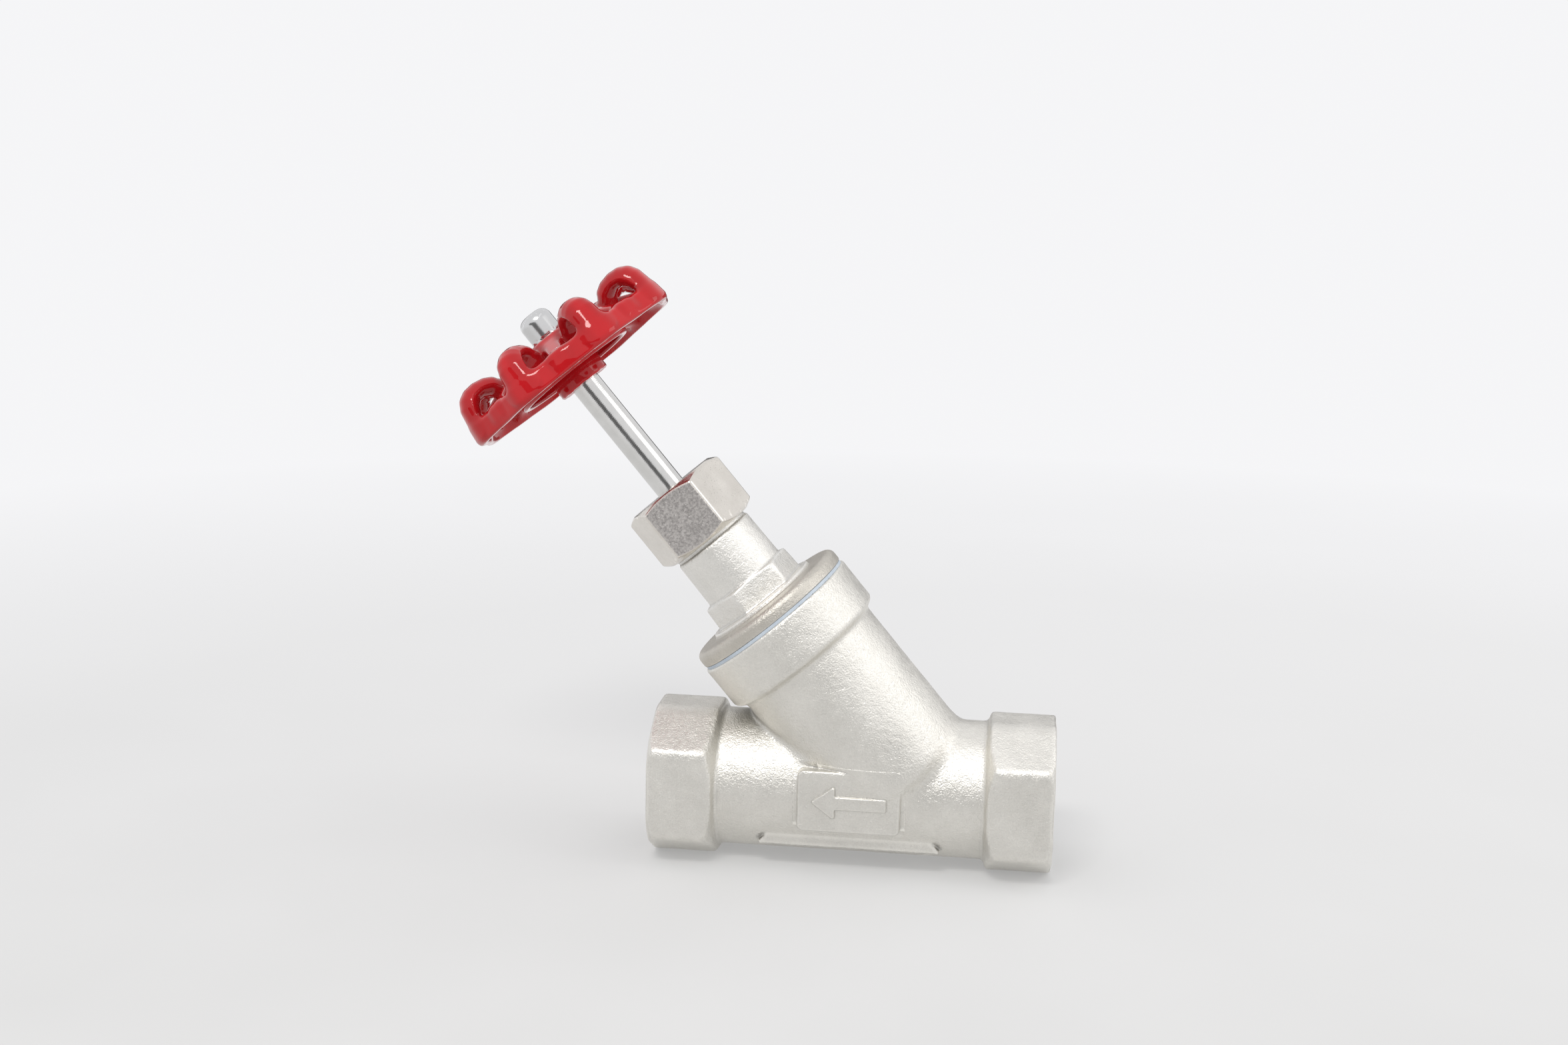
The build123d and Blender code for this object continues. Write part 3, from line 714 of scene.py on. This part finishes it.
def gland_metal():
    m = bright_metal("nickel_plate_gland", (0.79, 0.755, 0.70), (0.71, 0.675, 0.62), 0.20, 0.010, 900, spots=0.35)
    nt = m.node_tree
    b = next(n for n in nt.nodes if n.type == "BSDF_PRINCIPLED")
    co = next(n for n in nt.nodes if n.type == "TEX_COORD").outputs["Object"]
    # the facet facing -Y has its own rougher blasted finish, and is also painted darker and mottled as a painted dark
    # reflection of the room in front
    t = math.radians(-87)
    mask = facet_mask(nt, (math.cos(t) * S, math.sin(t), math.cos(t) * C))
    mott = noise(nt, co, 1500, 4.0, 0.7)
    rough_and_shaded_col = mix(nt, ramp(nt, mott, 0.40, 0.60, 0.0, 1.0), (0.46, 0.435, 0.42), (0.67, 0.64, 0.615))
    # near-white specks on that facet: painted glints
    spark = voronoi(nt, co, 1700)
    lit = ramp(nt, spark.outputs["Distance"], 0.10, 0.22, 1.0, 0.0)
    glint_specks = maths(nt, "MULTIPLY", lit, ramp(nt, noise(nt, co, 1400, 1.0, 0.5), 0.58, 0.68, 0.0, 1.0))
    rough_and_shaded_col = mix(nt, glint_specks, rough_and_shaded_col, (0.98, 0.97, 0.95))
    old = b.inputs["Base Color"].links[0].from_socket
    nt.links.new(mix(nt, mask, old, rough_and_shaded_col), b.inputs["Base Color"])
    oldr = b.inputs["Roughness"].links[0].from_socket
    mr = nt.nodes.new("ShaderNodeMix")
    nt.links.new(mask, mr.inputs[0])
    nt.links.new(oldr, mr.inputs[2])
    nt.links.new(ramp(nt, mott, 0.3, 0.7, 0.26, 0.42), mr.inputs[3])
    nt.links.new(mr.outputs[0], b.inputs["Roughness"])
    oldn = b.inputs["Normal"].links[0].from_socket
    h = maths(nt, "MULTIPLY", maths(nt, "ADD", mott, maths(nt, "MULTIPLY", glint_specks, 0.6)), mask)
    nt.links.new(bump(nt, h, 0.00010, 1.0, oldn), b.inputs["Normal"])
    return m


NICKEL = gland_metal()
CHROME = bright_metal("polished_steel_nut", (0.70, 0.70, 0.70), (0.62, 0.62, 0.62), 0.14, 0.003, 260)
STEMM = bright_metal("polished_steel_stem", (0.76, 0.755, 0.74), (0.69, 0.685, 0.67), 0.15, 0.002, 300)
TURNED = bright_metal("turned_stainless", (0.66, 0.65, 0.63), (0.55, 0.54, 0.52), 0.30, 0.006, 500)
RED = enamel()
BLUE = plain_polymer("blue_fibre_sheet", (0.52, 0.58, 0.64), (0.44, 0.50, 0.57), 0.62)
PTFE = plain_polymer("ptfe_white", (0.84, 0.84, 0.82), (0.77, 0.77, 0.75), 0.45)

for ob, m, node, slot, bodyname in ((body, CAST, "valve_body", "cast_stainless", "body"), (pad_patch, CAST, "valve_body", "cast_stainless", "body"),
                                    (bonnet, CAST2, "bonnet", "cast_stainless", "body"), (gland, NICKEL, "gland_nut", "nickel_plate", "body"),
                                    (wheel, RED, "handwheel", "red_enamel", "spindle"), (dome, CHROME, "dome_nut", "polished_steel", "spindle"),
                                    (stem, STEMM, "stem", "polished_steel", "spindle")):
    ob.data.materials.clear()
    ob.data.materials.append(m)
    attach(ob, bodyname)
    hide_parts(node)

KEPT = {"bonnet_gasket": BLUE, "packing_washer": TURNED, "packing_bottom_adapter": PTFE, "packing_v_ring_1": PTFE, "packing_v_ring_2": PTFE,
        "packing_v_ring_3": PTFE, "packing_top_adapter": PTFE, "gland_follower": TURNED, "gland_washer": TURNED, "seal_disc": PTFE,
        "disc_holder": TURNED, "disc_thrust_washer": TURNED, "disc_collar": TURNED, "disc_washer": TURNED, "disc_screw": TURNED,
        "wheel_washer": TURNED}
for n, m in KEPT.items():
    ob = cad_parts[n]
    if not ob.material_slots:
        ob.data.materials.append(m)
    for s in ob.material_slots:
        s.material = m

# ------------------------------------------------------------------ stage
FLOOR = -19.85
WORLD = (0.985, 0.985, 1.0, 1.0)


def floor_sheet():
    n, size = 48, 6000.0
    ang = np.arange(n) * 2 * math.pi / n
    co = [(-50.0, 0.0, FLOOR)] + [(-50 + size * math.cos(a), size * math.sin(a), FLOOR) for a in ang]
    tris = [(0, 1 + k, 1 + (k + 1) % n) for k in range(n)]
    ob = mesh_object("floor_sheet", np.array(co, float), [np.array(tris)], smooth=False)
    m, nt, b, c = new_material("floor_paper")
    sep = nt.nodes.new("ShaderNodeSeparateXYZ")
    nt.links.new(c, sep.inputs[0])
    # floor colour runs from darker at the front to lighter at the back: painted shade towards the front
    back = ramp(nt, sep.outputs["Y"], -0.12, 0.45, 0.0, 1.0)
    tone = mix(nt, back, (0.62, 0.62, 0.615), (0.86, 0.86, 0.865))
    col = mix(nt, ramp(nt, noise(nt, c, 9, 3.0, 0.5), 0.3, 0.7, 0.0, 0.3), tone, (0.78, 0.78, 0.78))
    nt.links.new(col, b.inputs["Base Color"])
    b.inputs["Roughness"].default_value = 0.9
    b.inputs["Specular IOR Level"].default_value = 0.05
    # the floor also glows: far out it glows in the world's colour so it fades into the backdrop, and near the piece a
    # 35% glow lifts the contact shadow, which is painted light
    far = nt.nodes.new("ShaderNodeEmission")
    far.inputs[0].default_value = WORLD
    far.inputs[1].default_value = 0.93
    near = nt.nodes.new("ShaderNodeEmission")
    near.inputs[0].default_value = (0.78, 0.78, 0.78, 1.0)
    near.inputs[1].default_value = 0.93
    dist = nt.nodes.new("ShaderNodeVectorMath")
    dist.operation = "LENGTH"
    nt.links.new(c, dist.inputs[0])
    outer = ramp(nt, dist.outputs["Value"], 0.33, 0.72, 0.0, 1.0)
    lift = nt.nodes.new("ShaderNodeMixShader")
    lift.inputs[0].default_value = 0.35
    fade = nt.nodes.new("ShaderNodeMixShader")
    nt.links.new(outer, fade.inputs[0])
    nt.links.new(b.outputs[0], lift.inputs[1])
    nt.links.new(near.outputs[0], lift.inputs[2])
    nt.links.new(lift.outputs[0], fade.inputs[1])
    nt.links.new(far.outputs[0], fade.inputs[2])
    out = next(n for n in nt.nodes if n.type == "OUTPUT_MATERIAL")
    nt.links.new(fade.outputs[0], out.inputs[0])
    ob.data.materials.append(m)
    return ob


def flag(name, at, look, w, h, tone):
    """Grey studio flag: seen only in reflections."""
    co = np.array([(-w / 2, -h / 2, 0), (w / 2, -h / 2, 0), (w / 2, h / 2, 0), (-w / 2, h / 2, 0)], float) / MM
    ob = mesh_object(name, co, [np.array([(0, 1, 2, 3)])], smooth=False)
    ob.location = Vector(at)
    ob.rotation_euler = (Vector(look) - Vector(at)).to_track_quat("-Z", "Y").to_euler()
    m, nt, b, c = new_material(name + "_felt")
    col = mix(nt, ramp(nt, noise(nt, c, 3, 2.0, 0.5), 0.3, 0.7, 0.0, 1.0), (tone * 0.8,) * 3, (tone * 1.2,) * 3)
    nt.links.new(col, b.inputs["Base Color"])
    b.inputs["Roughness"].default_value = 0.95
    ob.data.materials.append(m)
    ob.visible_camera = False
    ob.visible_shadow = False
    ob.visible_diffuse = False
    return ob


floor_sheet()
MIDP = (-0.07, 0.0, 0.05)
flag("front_flag", (-0.10, -0.95, 0.10), MIDP, 1.7, 0.42, 0.12)
flag("back_flag", (-0.10, 0.95, 0.12), MIDP, 1.5, 0.46, 0.14)

world = bpy.data.worlds.new("studio")
bpy.context.scene.world = world
world.use_nodes = True
wn = world.node_tree
wn.nodes["Background"].inputs[0].default_value = WORLD
wn.nodes["Background"].inputs[1].default_value = 0.93


def area(name, at, look, size, power, colour=(1, 1, 1), size_y=None):
    l = bpy.data.lights.new(name, "AREA")
    l.energy = power
    l.color = colour
    l.shape = "RECTANGLE"
    l.size = size
    l.size_y = size_y or size
    ob = bpy.data.objects.new(name, l)
    ob.location = Vector(at)
    ob.rotation_euler = (Vector(look) - Vector(at)).to_track_quat("-Z", "Y").to_euler()
    ob.visible_camera = False
    bpy.context.scene.collection.objects.link(ob)
    return ob


MID = (-0.07, 0.0, 0.05)
area("key_soft", (-0.17, -0.60, 0.72), MID, 0.34, 3.0, (1.0, 0.985, 0.96), 0.20)
area("right_soft", (0.70, -0.10, 0.55), MID, 0.5, 1.3, (1.0, 0.98, 0.95))

# ------------------------------------------------------------------ camera
yaw, pitch, roll = math.radians(-6.872), math.radians(10.875), math.radians(1.241)
dv = Vector((math.sin(yaw) * math.cos(pitch), math.cos(yaw) * math.cos(pitch), -math.sin(pitch)))
right = Vector((math.cos(yaw), -math.sin(yaw), 0))
up = right.cross(dv)
r2 = math.cos(roll) * right + math.sin(roll) * up
u2 = -math.sin(roll) * right + math.cos(roll) * up
eye = Vector((-72.76, 0.0, 69.343)) * MM - dv * 488.18 * MM
cam = bpy.data.cameras.new("camera")
cam.sensor_width = 36.0
cam.sensor_fit = "HORIZONTAL"
cam.lens = 2811.58 * 36 / 2352
cam.clip_start = 0.01
cam.clip_end = 20
co = bpy.data.objects.new("camera", cam)
co.matrix_world = Matrix((
    (r2.x, u2.x, -dv.x, eye.x),
    (r2.y, u2.y, -dv.y, eye.y),
    (r2.z, u2.z, -dv.z, eye.z),
    (0, 0, 0, 1)))
bpy.context.scene.collection.objects.link(co)
bpy.context.scene.camera = co

bpy.context.scene.view_settings.view_transform = "Standard"
bpy.context.scene.view_settings.look = "None"
